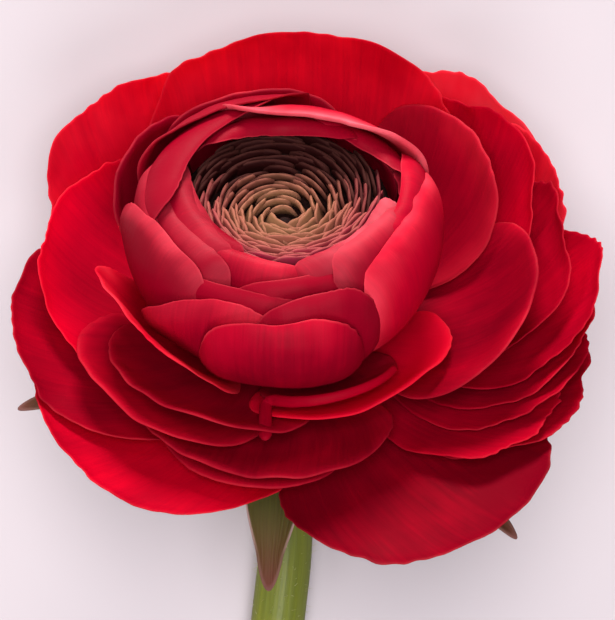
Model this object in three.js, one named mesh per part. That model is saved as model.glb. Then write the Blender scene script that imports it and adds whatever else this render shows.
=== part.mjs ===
// A persian buttercup (Ranunculus asiaticus): one double flower on its cut stem, laid down on a
// flat surface. Millimetres, +Z up, the origin at the middle of the bottom of the whole flower.
//
// The flower frame has its origin at the receptacle and +Z along the flower's axis. Azimuth 0 is
// to the right (+X), 90 is the back, where the flower rests, and 270 is the front, over the stem.
import * as THREE from 'three';

// ---- Driving dimensions ---------------------------------------------------------------------

const AXIS_TILT = 45;         // degrees from straight up to the flower's axis

// The closed ball: the section of its innermost and of its outermost layer, as the control points
// [radius, height] of a quartic curve from the receptacle to the rim, and the curve's length.
const BALL_INSIDE = [[3.2, 8.5], [9.5, 7], [15, 15], [13, 24], [9.8, 24.6]];
const BALL_OUTSIDE = [[5.1, 3.5], [16.5, 0.8], [27, 13.5], [20.8, 28.8], [13.3, 26.8]];
const BALL_LENGTHS = [22, 38];
const BALL_LAYERS = 5;

// The open petals, layer 6 to layer 12: an arc that leaves the receptacle at [radius, height],
// starts [slope] degrees above level and curls up [curl] degrees a millimetre, more at the back
// and less at the front by [backCurl], and less at the right by [rightCurl].
const OPEN_LAYERS = [
  { layer: 6, radius: 5.4, height: 2.6, slope: -12, curl: 3.30, backCurl: 0.10, rightCurl: 0 },
  { layer: 7, radius: 5.8, height: 1.8, slope: -12, curl: 2.75, backCurl: 0.30, rightCurl: 0 },
  { layer: 8, radius: 6.1, height: 1.0, slope: -12, curl: 2.35, backCurl: 0.40, rightCurl: 0.05 },
  { layer: 9, radius: 6.4, height: 0.2, slope: -12, curl: 2.00, backCurl: 0.45, rightCurl: 0.10 },
  { layer: 10, radius: 6.7, height: -0.6, slope: -12, curl: 1.70, backCurl: 0.50, rightCurl: 0.10 },
  { layer: 11, radius: 7.0, height: -1.4, slope: -13, curl: 1.45, backCurl: 0.55, rightCurl: 0.10 },
  { layer: 12, radius: 7.1, height: -2.4, slope: -15, curl: 1.25, backCurl: 0.60, rightCurl: 0.10 },
];

// Petals: the layer that each lies on, the azimuth of its middle, its length along the layer and
// half its width. turn moves its edges to other layers, outwards where it is negative on the edge
// of lower azimuth, so that neighbours overlap like tiles. corner squares its tip, and slant makes
// one side of its rim longer.
const GUARD_PETALS = [
  { name: 'guard_petal_back_right_under', layer: 11, azimuth: 50, length: 38, halfWidth: 14, droop: 4 },
  { name: 'guard_petal_back_left_under', layer: 11, azimuth: 131, length: 38.5, halfWidth: 14, droop: 5.3 },
  { name: 'guard_petal_front_right', layer: 11.2, azimuth: 305, length: 40.2, halfWidth: 20 },
  { name: 'guard_petal_front_left', layer: 10.4, azimuth: 230, length: 34.5, halfWidth: 20.5 },
  { name: 'guard_petal_left', layer: 9.9, azimuth: 194, length: 32.8, halfWidth: 20 },
  { name: 'guard_petal_right_1', layer: 10.75, azimuth: 335, length: 37.2, halfWidth: 12 },
  { name: 'guard_petal_right_2', layer: 10.4, azimuth: 329, length: 34.5, halfWidth: 11.5 },
  { name: 'guard_petal_right_3', layer: 10.05, azimuth: 341, length: 37, halfWidth: 12 },
  { name: 'guard_petal_right_4', layer: 9.7, azimuth: 347, length: 38.2, halfWidth: 12 },
  { name: 'guard_petal_right_5', layer: 9.3, azimuth: 353, length: 41.6, halfWidth: 12.5 },
  { name: 'guard_petal_right_6', layer: 8.55, azimuth: 4, length: 38.3, halfWidth: 15 },
  { name: 'guard_petal_right_back_1', layer: 8.9, azimuth: 24, length: 39.8, halfWidth: 15 },
  { name: 'guard_petal_right_back_2', layer: 8.1, azimuth: 30, length: 39.5, halfWidth: 15 },
  { name: 'guard_petal_back_right', layer: 9.6, azimuth: 45, length: 41, halfWidth: 18 },
  { name: 'guard_petal_back', layer: 7.75, azimuth: 84, length: 41.5, halfWidth: 23.5, corner: 0.14 },
  { name: 'guard_petal_back_left', layer: 9.2, azimuth: 131, length: 38.8, halfWidth: 20 },
  { name: 'guard_petal_left_back', layer: 8.7, azimuth: 163, length: 30.8, halfWidth: 21 },
];
const CUP_PETALS = [
  { name: 'cup_petal_front_left_1', layer: 8, azimuth: 222, length: 26.5, halfWidth: 16 },
  { name: 'cup_petal_front_1', layer: 8.8, azimuth: 262, length: 25.6, halfWidth: 19 },
  { name: 'cup_petal_front_2', layer: 9.6, azimuth: 260, length: 24.5, halfWidth: 14 },
  { name: 'cup_petal_right_1', layer: 7.7, azimuth: 350, length: 33, halfWidth: 16 },
  { name: 'cup_petal_right_2', layer: 7, azimuth: 38, length: 34.5, halfWidth: 13.5 },
  { name: 'cup_petal_front_left_2', layer: 6.95, azimuth: 235, length: 24.5, halfWidth: 16.5 },
  { name: 'cup_petal_front_right', layer: 6.6, azimuth: 306, length: 21.5, halfWidth: 17 },
  { name: 'cup_petal_front_3', layer: 5.95, azimuth: 290, length: 20, halfWidth: 11.5 },
  { name: 'cup_petal_left', layer: 5.65, azimuth: 214, length: 26.5, halfWidth: 14 },
];
const BALL_PETALS = [
  { name: 'ball_petal_left_1', layer: 4.95, azimuth: 203, length: 31.3, halfWidth: 14, turn: -0.55 },
  { name: 'ball_petal_left_2', layer: 4.65, azimuth: 188, length: 32.1, halfWidth: 16, turn: -0.3 },
  { name: 'ball_petal_left_3', layer: 3.6, azimuth: 205, length: 30.6, halfWidth: 14, turn: -0.3 },
  { name: 'ball_petal_left_4', layer: 3, azimuth: 197, length: 32.4, halfWidth: 13, turn: -0.3 },
  { name: 'ball_petal_left_5', layer: 2, azimuth: 205, length: 29.5, halfWidth: 11, turn: -0.3 },
  { name: 'ball_petal_front_1', layer: 5.5, azimuth: 270, length: 29.2, halfWidth: 11.8, corner: 0.14 },
  { name: 'ball_petal_front_2', layer: 5.1, azimuth: 286, length: 28.4, halfWidth: 10.2, turn: -0.1 },
  { name: 'ball_petal_front_3', layer: 5.05, azimuth: 240, length: 27, halfWidth: 12, turn: -0.65 },
  { name: 'ball_petal_front_4', layer: 4.15, azimuth: 247, length: 26.8, halfWidth: 15, turn: -0.15 },
  { name: 'ball_petal_front_5', layer: 3.45, azimuth: 277, length: 27.2, halfWidth: 12, turn: -0.25 },
  { name: 'ball_petal_front_6', layer: 2.5, azimuth: 250, length: 27.7, halfWidth: 13, slant: -0.06 },
  { name: 'ball_petal_right_1', layer: 4.95, azimuth: 343, length: 32.8, halfWidth: 15.5, turn: 0.3 },
  { name: 'ball_petal_right_2', layer: 4.55, azimuth: 357, length: 33.6, halfWidth: 13, turn: 0.4 },
  { name: 'ball_petal_right_3', layer: 3.8, azimuth: 322, length: 33.2, halfWidth: 10, turn: 0.2 },
  { name: 'ball_petal_right_4', layer: 2.8, azimuth: 315, length: 31, halfWidth: 13, turn: -0.15 },
  { name: 'ball_petal_right_5', layer: 3.1, azimuth: 5, length: 30.6, halfWidth: 10, turn: -0.2 },
  { name: 'ball_petal_back_1', layer: 4.3, azimuth: 145, length: 35.8, halfWidth: 18, turn: -0.2 },
  { name: 'ball_petal_back_2', layer: 4.05, azimuth: 62, length: 35.4, halfWidth: 19, turn: -0.5 },
  { name: 'ball_petal_back_3', layer: 5.1, azimuth: 118, length: 36.5, halfWidth: 14, turn: 0.1 },
  { name: 'ball_petal_back_4', layer: 5.45, azimuth: 104, length: 31.5, halfWidth: 15 },
  { name: 'ball_petal_back_5', layer: 5.65, azimuth: 141, length: 31.5, halfWidth: 10 },
  { name: 'ball_petal_back_6', layer: 3.45, azimuth: 42, length: 33, halfWidth: 12, turn: -0.35 },
  { name: 'ball_petal_back_7', layer: 2.75, azimuth: 92, length: 32.6, halfWidth: 15 },
  { name: 'ball_petal_back_8', layer: 2, azimuth: 60, length: 26.4, halfWidth: 10.5 },
];
const PETAL_THICKNESS = [0.12, 0.3];  // at its edge and in its middle
const PETAL_CORNER = 0.08;    // how far a petal's outline is squared, where its row gives no corner
const CLAW_WIDTH = 0.14;      // width of a petal's foot, as a share of its full width
const CLAW_START = 0.8;       // a petal starts this far up its layer, clear of the receptacle
const WIDEST_AT = 0.72;       // share of the length at which a petal reaches its full width
const OPEN_GRID = [7, 7];     // points across and along an open petal
const CLOSED_GRID = [6, 9];   // the same for a petal of the ball, which curves more

// Sepals: under the guard petals. droop lowers the tip below the layer.
const SEPALS = [
  { name: 'sepal_front', azimuth: 266, length: 26, halfWidth: 3.8, droop: 13 },
  { name: 'sepal_right', azimuth: 316, length: 35.5, halfWidth: 4, droop: 6 },
  { name: 'sepal_back_right', azimuth: 48, length: 24, halfWidth: 4.5, droop: 0 },
  { name: 'sepal_back_left', azimuth: 122, length: 24, halfWidth: 4.5, droop: 0 },
  { name: 'sepal_left', azimuth: 197, length: 30.5, halfWidth: 4, droop: 3 },
];
const SEPAL_LAYER = 11.9;
const SEPAL_THICKNESS = 0.45;
const SEPAL_GRID = [4, 8];

// The heart: the packed small petals. Its side is layer 1.2 up to the rim, and its top is a
// shallow bowl with low spiral steps round a deep little hole.
const HEART = {
  layer: 1.2,
  footHeight: 8.4,
  footRadius: 3.3,
  rimAlong: 23.5,
  bowlHeight: 20.7,
  holeRadius: 1.3,
  holeDepth: 2.5,
  spirals: 9,
  stepHeight: 0.5,
  stepPitch: 2.4,
  sides: 36,
  sideRings: 8,
  topRings: 8,
};

// The stem: it leaves the receptacle along the flower's axis, bends in one arc until it lies
// level, swings a little to the left, and runs on to its plain cut end. Its top is widened into
// the receptacle: [distance down the stem from the head, radius].
const STEM = { radius: 3.6, straight: 4.12, bendRadius: 47, length: 124, sides: 14 };
const RECEPTACLE = [
  [-7.7, 1.5], [-6.9, 2.5], [-5.5, 3.3], [-3, 4.4], [-0.5, 5.4], [2.2, 6.2], [3.6, 5.9],
  [5.4, 4.6], [7.6, 3.9], [10.4, 3.6],
];
const RECEPTACLE_TOP = -7.9;
const SWING = { start: 27, end: 36, slope: 0.118 };  // forward of the head, and to the left
const CUT_SLANT = 0.35;       // the cut's lower edge stands out by this share of its height

const COLOURS = {
  guard: 0xb20322,
  cup: 0xa80220,
  ball: 0xb9082a,
  heart: 0x8f5148,
  sepal: 0x5c4a22,
  stem: 0x747c40,
};

// ---- The layers that the petals lie on --------------------------------------------------------

const radians = THREE.MathUtils.degToRad;
const mix = THREE.MathUtils.lerp;
const clamp = THREE.MathUtils.clamp;

// A point of a quartic curve.
function quartic(points, t) {
  const u = 1 - t;
  const weights = [u ** 4, 4 * t * u ** 3, 6 * t * t * u * u, 4 * t ** 3 * u, t ** 4];
  const sum = (axis) => weights.reduce((total, weight, i) => total + weight * points[i][axis], 0);
  return { r: sum(0), z: sum(1) };
}

function closedLayer(layer, along) {
  const share = layer / BALL_LAYERS;
  const t = Math.min(along / mix(BALL_LENGTHS[0], BALL_LENGTHS[1], share), 1.25);
  const inside = quartic(BALL_INSIDE, t);
  const outside = quartic(BALL_OUTSIDE, t);
  return { r: mix(inside.r, outside.r, share), z: mix(inside.z, outside.z, share) };
}

function openLayer(layer, azimuth, along) {
  const first = OPEN_LAYERS[0].layer;
  const index = clamp(Math.floor(layer - first), 0, OPEN_LAYERS.length - 2);
  const low = OPEN_LAYERS[index];
  const high = OPEN_LAYERS[index + 1];
  const between = (key) => mix(low[key], high[key], layer - low.layer);
  const towards = { back: Math.sin(azimuth), right: Math.cos(azimuth) };
  const curl = between('curl') + between('backCurl') * towards.back - between('rightCurl') * towards.right;
  const start = radians(between('slope'));
  const end = start + radians(curl) * along;
  const arc = 1 / radians(curl);
  return {
    r: between('radius') + arc * (Math.sin(end) - Math.sin(start)),
    z: between('height') + arc * (Math.cos(start) - Math.cos(end)),
  };
}

// Radius and height on any layer, [along] millimetres from the receptacle.
function onLayer(layer, azimuth, along) {
  const closed = closedLayer(Math.min(layer, BALL_LAYERS), along);
  const open = openLayer(Math.max(layer, BALL_LAYERS + 1), azimuth, along);
  const share = clamp(layer - BALL_LAYERS, 0, 1);
  return { r: mix(closed.r, open.r, share), z: mix(closed.z, open.z, share) };
}

// ---- Petals and sepals ------------------------------------------------------------------------

// The middle surface of a petal, for a point of the unit disc: across from -1 to 1, and up from -1
// at the claw to 1 at the tip.
function petalPoint(petal, discX, discY) {
  const corner = petal.corner ?? PETAL_CORNER;
  const squaring = discY > 0 ? 1 + corner * 4 * discX * discX * discY * discY : 1;
  const across = discX * squaring;
  const up = (discY * squaring + 1) / 2;
  const opening = Math.sin(clamp(up / WIDEST_AT, 0, 1) * Math.PI / 2) ** 1.3;
  const width = petal.halfWidth * across * mix(CLAW_WIDTH, 1, opening);
  const along = CLAW_START + (petal.length - CLAW_START) * up * (1 + (petal.slant ?? 0) * across * up);
  const layer = petal.layer + (petal.turn ?? 0) * across * up;
  const middle = radians(petal.azimuth);
  const azimuth = middle + width / Math.max(onLayer(layer, middle, along).r, 3);
  const point = onLayer(layer, azimuth, along);
  const droop = (petal.droop ?? 0) * up * up;
  return new THREE.Vector3(point.r * Math.cos(azimuth), point.r * Math.sin(azimuth), point.z - droop);
}

// The middle surface of a sepal: a long leaf with a pointed tip.
function sepalPoint(sepal, discX, discY) {
  const up = (discY + 1) / 2;
  const narrowed = discX * (1 - 0.5 * up ** 4);
  return petalPoint({ ...sepal, layer: SEPAL_LAYER, corner: 0 }, narrowed, discY);
}

// A thin closed sheet over the unit disc: a square grid pressed into the disc, with one face on
// each side of surface(x, y) and a narrow edge all round, as thick as thickness(x, y).
function sheet(surface, [columns, rows], thickness) {
  const inset = 0.98;
  const step = 0.01;
  const outer = [];
  const inner = [];
  for (let i = 0; i < columns; i += 1) {
    for (let j = 0; j < rows; j += 1) {
      const u = -1 + 2 * i / (columns - 1);
      const v = -1 + 2 * j / (rows - 1);
      const x = inset * u * Math.sqrt(1 - v * v / 2);
      const y = inset * v * Math.sqrt(1 - u * u / 2);
      const across = surface(x + step, y).sub(surface(x - step, y));
      const up = surface(x, y + step).sub(surface(x, y - step));
      const half = across.cross(up).normalize().multiplyScalar(thickness(x, y) / 2);
      outer.push(surface(x, y).add(half));
      inner.push(surface(x, y).sub(half));
    }
  }
  const count = columns * rows;
  const index = [];
  for (let i = 0; i < columns - 1; i += 1) {
    for (let j = 0; j < rows - 1; j += 1) {
      const a = i * rows + j;
      const b = a + rows;
      index.push(a, b, b + 1, a, b + 1, a + 1);
      index.push(count + a, count + b + 1, count + b, count + a, count + a + 1, count + b + 1);
    }
  }
  const rim = [];
  for (let i = 0; i < columns - 1; i += 1) rim.push(i * rows);
  for (let j = 0; j < rows - 1; j += 1) rim.push((columns - 1) * rows + j);
  for (let i = columns - 1; i > 0; i -= 1) rim.push(i * rows + rows - 1);
  for (let j = rows - 1; j > 0; j -= 1) rim.push(j);
  rim.forEach((here, k) => {
    const next = rim[(k + 1) % rim.length];
    index.push(here, count + here, count + next, here, count + next, next);
  });
  return solidFrom([...outer, ...inner], index);
}

function solidFrom(points, index) {
  const geometry = new THREE.BufferGeometry();
  geometry.setAttribute('position', new THREE.Float32BufferAttribute(points.flatMap((p) => p.toArray()), 3));
  geometry.setIndex(index);
  geometry.computeVertexNormals();
  return geometry;
}

// ---- Rings joined into one solid: the heart and the stem ----------------------------------------

// Closed rings of equal point counts, joined in order and capped by a point at each end.
function lofted(rings, first, last) {
  const sides = rings[0].length;
  const points = [first, ...rings.flat(), last];
  const end = points.length - 1;
  const index = [];
  for (let k = 0; k < sides; k += 1) {
    const next = (k + 1) % sides;
    index.push(0, 1 + next, 1 + k);
    index.push(end, end - sides + k, end - sides + next);
    for (let ring = 0; ring < rings.length - 1; ring += 1) {
      const low = 1 + ring * sides;
      const high = low + sides;
      index.push(low + k, low + next, high + next, low + k, high + next, high + k);
    }
  }
  return solidFrom(points, index);
}

function heartGeometry() {
  const circle = (radius, height) => Array.from({ length: HEART.sides }, (_, k) => {
    const turn = 2 * Math.PI * k / HEART.sides;
    return new THREE.Vector3(radius * Math.cos(turn), radius * Math.sin(turn), height(turn));
  });
  const rings = [circle(HEART.footRadius, () => HEART.footHeight)];
  for (let i = 1; i <= HEART.sideRings; i += 1) {
    const side = onLayer(HEART.layer, 0, mix(4.5, HEART.rimAlong, i / HEART.sideRings));
    rings.push(circle(side.r, () => Math.max(side.z, HEART.footHeight + 0.1 * i)));
  }
  const rim = onLayer(HEART.layer, 0, HEART.rimAlong);
  for (let i = 1; i <= HEART.topRings; i += 1) {
    const radius = mix(rim.r, HEART.holeRadius, i / HEART.topRings);
    const bowl = mix(HEART.bowlHeight, rim.z, (radius / rim.r) ** 2);
    rings.push(circle(radius, (turn) => {
      const phase = radius / HEART.stepPitch + HEART.spirals * turn / (2 * Math.PI);
      return bowl - HEART.stepHeight * (phase - Math.floor(phase));
    }));
  }
  const floor = HEART.bowlHeight - HEART.holeDepth;
  rings.push(circle(HEART.holeRadius * 0.6, () => floor));
  return lofted(rings, new THREE.Vector3(0, 0, HEART.footHeight), new THREE.Vector3(0, 0, floor));
}

// A point of the stem's centre line, as laid down, [distance] down the stem from the head.
function stemPoint(distance) {
  const tilt = radians(AXIS_TILT);
  const straight = Math.min(distance, STEM.straight);
  const bendLength = STEM.bendRadius * (Math.PI / 2 - tilt);
  const bent = clamp(distance - STEM.straight, 0, bendLength) / STEM.bendRadius;
  const level = Math.max(distance - STEM.straight - bendLength, 0);
  const arcForward = STEM.bendRadius * (Math.cos(tilt) - Math.cos(tilt + bent));
  const arcDrop = STEM.bendRadius * (Math.sin(tilt + bent) - Math.sin(tilt));
  const forward = straight * Math.sin(tilt) + arcForward + level;
  const drop = straight * Math.cos(tilt) + arcDrop;
  const swung = clamp(forward - SWING.start, 0, SWING.end - SWING.start);
  const beyond = Math.max(forward - SWING.end, 0);
  const left = SWING.slope * (swung * swung / (2 * (SWING.end - SWING.start)) + beyond);
  return new THREE.Vector3(-left, -forward, -drop);
}

function stemGeometry() {
  const bendLength = STEM.bendRadius * radians(90 - AXIS_TILT);
  const stations = RECEPTACLE.map(([distance, radius]) => ({ distance, radius }));
  const bendEnd = STEM.straight + bendLength;
  const plain = [16, 22, 28, 34, bendEnd, 50, 80, STEM.length];
  plain.forEach((distance) => stations.push({ distance, radius: STEM.radius }));
  const rings = stations.map(({ distance, radius }) => {
    const centre = stemPoint(distance);
    const way = stemPoint(distance + 0.1).sub(stemPoint(distance - 0.1)).normalize();
    const over = new THREE.Vector3(1, 0, 0).cross(way).negate().normalize();
    const side = over.clone().cross(way);
    return Array.from({ length: STEM.sides }, (_, k) => {
      const turn = 2 * Math.PI * (k + 0.5) / STEM.sides + Math.PI / 2;
      const spoke = side.clone().multiplyScalar(radius * Math.cos(turn));
      return spoke.addScaledVector(over, radius * Math.sin(turn)).add(centre);
    });
  });
  const end = stemPoint(STEM.length);
  rings[rings.length - 1].forEach((point) => {
    point.y -= CUT_SLANT * (end.z - point.z);
  });
  return lofted(rings, stemPoint(RECEPTACLE_TOP), end);
}

// ---- The flower ---------------------------------------------------------------------------------

function part(name, geometry, colour, roughness) {
  const material = new THREE.MeshStandardMaterial({ color: colour, roughness, metalness: 0 });
  const mesh = new THREE.Mesh(geometry, material);
  mesh.name = name;
  return mesh;
}

const petalThickness = (x, y) => mix(...PETAL_THICKNESS, Math.max(1 - x * x - y * y, 0));
const petal = (row, colour, grid) => part(
  row.name,
  sheet((x, y) => petalPoint(row, x, y), grid, petalThickness),
  colour,
  0.55,
);

const head = new THREE.Group();
head.name = 'head';
GUARD_PETALS.forEach((row) => head.add(petal(row, COLOURS.guard, OPEN_GRID)));
CUP_PETALS.forEach((row) => head.add(petal(row, COLOURS.cup, OPEN_GRID)));
BALL_PETALS.forEach((row) => head.add(petal(row, COLOURS.ball, CLOSED_GRID)));
SEPALS.forEach((row) => {
  const geometry = sheet((x, y) => sepalPoint(row, x, y), SEPAL_GRID, () => SEPAL_THICKNESS);
  head.add(part(row.name, geometry, COLOURS.sepal, 0.7));
});
head.add(part('heart', heartGeometry(), COLOURS.heart, 0.7));
head.rotation.x = -radians(AXIS_TILT);

const group = new THREE.Group();
group.name = 'persian_buttercup';
group.add(head, part('stem', stemGeometry(), COLOURS.stem, 0.75));

// Set the origin at the middle of the bottom of the whole flower.
const box = new THREE.Box3().setFromObject(group, true);
group.position.set(-(box.min.x + box.max.x) / 2, -(box.min.y + box.max.y) / 2, -box.min.z);
group.updateMatrixWorld(true);

export default group;
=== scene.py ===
"""Persian buttercup (Ranunculus asiaticus): the petals, eye, sepals and stem of one cut flower.

The flower's own measures are in millimetres, in the head's frame: x to the right, y to the
back, z along the flower's axis, with the receptacle at its origin. The finished pieces are in
metres, in the CAD model's frame.
"""

import math

import bpy
import numpy as np
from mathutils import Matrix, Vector


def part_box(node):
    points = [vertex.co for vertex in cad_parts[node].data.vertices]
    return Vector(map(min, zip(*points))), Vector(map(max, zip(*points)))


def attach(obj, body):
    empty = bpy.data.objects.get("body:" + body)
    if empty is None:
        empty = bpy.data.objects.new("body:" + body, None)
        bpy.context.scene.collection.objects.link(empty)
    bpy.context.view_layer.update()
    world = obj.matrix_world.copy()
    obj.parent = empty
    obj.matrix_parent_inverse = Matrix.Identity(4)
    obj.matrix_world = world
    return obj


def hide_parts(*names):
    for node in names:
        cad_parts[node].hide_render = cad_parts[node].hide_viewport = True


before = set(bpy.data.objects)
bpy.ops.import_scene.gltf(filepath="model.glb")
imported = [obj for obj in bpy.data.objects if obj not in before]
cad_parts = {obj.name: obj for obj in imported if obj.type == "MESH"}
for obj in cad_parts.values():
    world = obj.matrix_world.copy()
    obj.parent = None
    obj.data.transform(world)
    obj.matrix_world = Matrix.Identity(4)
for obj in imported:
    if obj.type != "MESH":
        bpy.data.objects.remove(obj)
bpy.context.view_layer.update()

bl_info = {
    "name": "Persian Buttercup",
    "version": (1, 0, 0),
    "blender": (4, 5, 0),
    "location": "3D View > Sidebar > Buttercup",
    "description": "Petals, eye, sepals, stem and stage of a cut persian buttercup",
    "category": "Object",
}

MM = 0.001
AXIS_TILT = math.radians(45)   # from straight up to the flower's axis

# ---- The layers that the petals lie on, as in the CAD model -------------------------------------

# The closed ball: control points [radius, height] of its innermost and outermost section.
BALL_INSIDE = np.array([[3.2, 8.5], [9.5, 7.0], [15.0, 15.0], [13.0, 24.0], [9.8, 24.6]])
BALL_OUTSIDE = np.array([[5.1, 3.5], [16.5, 0.8], [27.0, 13.5], [20.8, 28.8], [13.3, 26.8]])
BALL_LENGTHS = (22.0, 38.0)
BALL_LAYERS = 5.0

# The open petals: arcs that leave the receptacle at a radius and a height, slope degrees above
# level, and curl up so many degrees a millimetre, more at the back and less at the right.
OPEN_LAYERS = [6, 7, 8, 9, 10, 11, 12]
OPEN_RADIUS = [5.4, 5.8, 6.1, 6.4, 6.7, 7.0, 7.1]
OPEN_HEIGHT = [2.6, 1.8, 1.0, 0.2, -0.6, -1.4, -2.4]
OPEN_SLOPE = [-12, -12, -12, -12, -12, -13, -15]
OPEN_CURL = [3.30, 2.75, 2.35, 2.00, 1.70, 1.45, 1.25]
BACK_CURL = [0.10, 0.30, 0.40, 0.45, 0.50, 0.55, 0.60]
RIGHT_CURL = [0.0, 0.0, 0.05, 0.10, 0.10, 0.10, 0.10]

# Each petal: layer, azimuth of its middle, length, half width, and what is special about it.
# turn moves its edges to other layers, corner squares its tip, slant makes one side longer and
# droop lowers its tip. roll turns the rim inwards, or outwards if negative, over roll_width and
# from roll_from up (-1 is the claw, 1 the tip). plump swells the petal and ruffle waves its rim.
# tone lightens it, partly its own tone and partly painted light and shade for where light falls
# on it. deepen darkens it away from the rim, a painted shade between the petals. bloom makes it
# rose within about bloom_width of the rim, more on one side with bloom_side: the petal's own rose
# next to the eye, and also a painted highlight on lit rims and a painted glow on backlit petals.
# On the back petals, high tone and bloom are a painted glow where light comes through them.
GUARD_PETALS = {
    "guard_petal_back_right_under": (11.0, 50, 38.0, 14.0, {"droop": 4.0, "tone": 0.9}),
    "guard_petal_back_left_under": (11.0, 131, 38.5, 14.0, {"droop": 5.3, "tone": 0.45}),
    "guard_petal_front_right": (11.2, 305, 40.2, 20.0, {"tone": -0.35}),
    "guard_petal_front_left": (10.4, 230, 34.5, 20.5, {"tone": 0.4}),
    "guard_petal_left": (9.9, 194, 32.8, 20.0, {"tone": 0.1}),
    "guard_petal_right_1": (10.75, 335, 37.2, 12.0, {"painted_inner_shade": 0.4}),
    "guard_petal_right_2": (10.4, 329, 34.5, 11.5, {"painted_inner_shade": 0.4}),
    "guard_petal_right_3": (10.05, 341, 37.0, 12.0, {"painted_inner_shade": 0.4}),
    "guard_petal_right_4": (9.7, 347, 38.2, 12.0, {"painted_inner_shade": 0.4}),
    "guard_petal_right_5": (9.3, 353, 41.6, 12.5, {}),
    "guard_petal_right_6": (8.55, 4, 38.3, 15.0, {}),
    "guard_petal_right_back_1": (8.9, 24, 39.8, 15.0, {
        "tone": 0.6, "bloom": 0.2, "bloom_width": 10}),
    "guard_petal_right_back_2": (8.1, 30, 39.5, 15.0, {}),
    "guard_petal_back_right": (9.6, 45, 41.0, 18.0, {
        "tone": 0.9, "bloom": 0.35, "bloom_width": 14}),
    "guard_petal_back": (7.75, 84, 41.5, 23.5, {
        "corner": 0.14, "tone": 0.55, "bloom": 0.06, "bloom_width": 16}),
    "guard_petal_back_left": (9.2, 131, 38.8, 20.0, {
        "tone": 0.55, "bloom": 0.12, "bloom_width": 10}),
    "guard_petal_left_back": (8.7, 163, 30.8, 21.0, {"tone": 0.7, "painted_inner_shade": 0.42}),
}
# How the rims of the ball's back petals turn: a thin or a thick lip outwards, or over the eye.
# The thick lip's bloom is a painted highlight where light falls on it, and the overhang's low tone
# a painted shade under it.
THIN_LIP = {"thickness": 0.3, "roll": -0.35, "roll_width": 1.0, "plump": 0.0, "tone": -0.35}
THICK_LIP = {"thickness": 0.6, "roll": -1.9, "roll_width": 3.0, "roll_from": -0.1,
             "plump": 0.0, "tone": 0.3, "bloom": 0.9}
OVERHANG = {"thickness": 0.3, "roll": 0.5, "roll_width": 2.5, "plump": 0.0, "ruffle": 0.6,
            "tone": -0.7}
CUP_PETALS = {
    "cup_petal_front_left_1": (8.0, 222, 26.5, 16.0, {}),
    "cup_petal_front_1": (8.8, 262, 25.6, 19.0, {}),
    "cup_petal_front_2": (9.6, 260, 24.5, 14.0, {}),
    "cup_petal_right_1": (7.7, 350, 33.0, 16.0, {}),
    "cup_petal_right_2": (7.0, 38, 34.5, 13.5, {"tone": 0.3, "bloom": 0.07, "bloom_width": 3.5}),
    "cup_petal_front_left_2": (6.95, 235, 24.5, 16.5, {}),
    "cup_petal_front_right": (6.6, 306, 21.5, 17.0, {"tone": 1.0, "painted_inner_shade": 0.35}),
    "cup_petal_front_3": (5.95, 292, 18.5, 10.0, {}),
    "cup_petal_left": (5.65, 214, 26.5, 14.0, {
        "roll": -1.4, "roll_width": 4.5, "tone": 0.6, "bloom": 0.25}),
}
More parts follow.
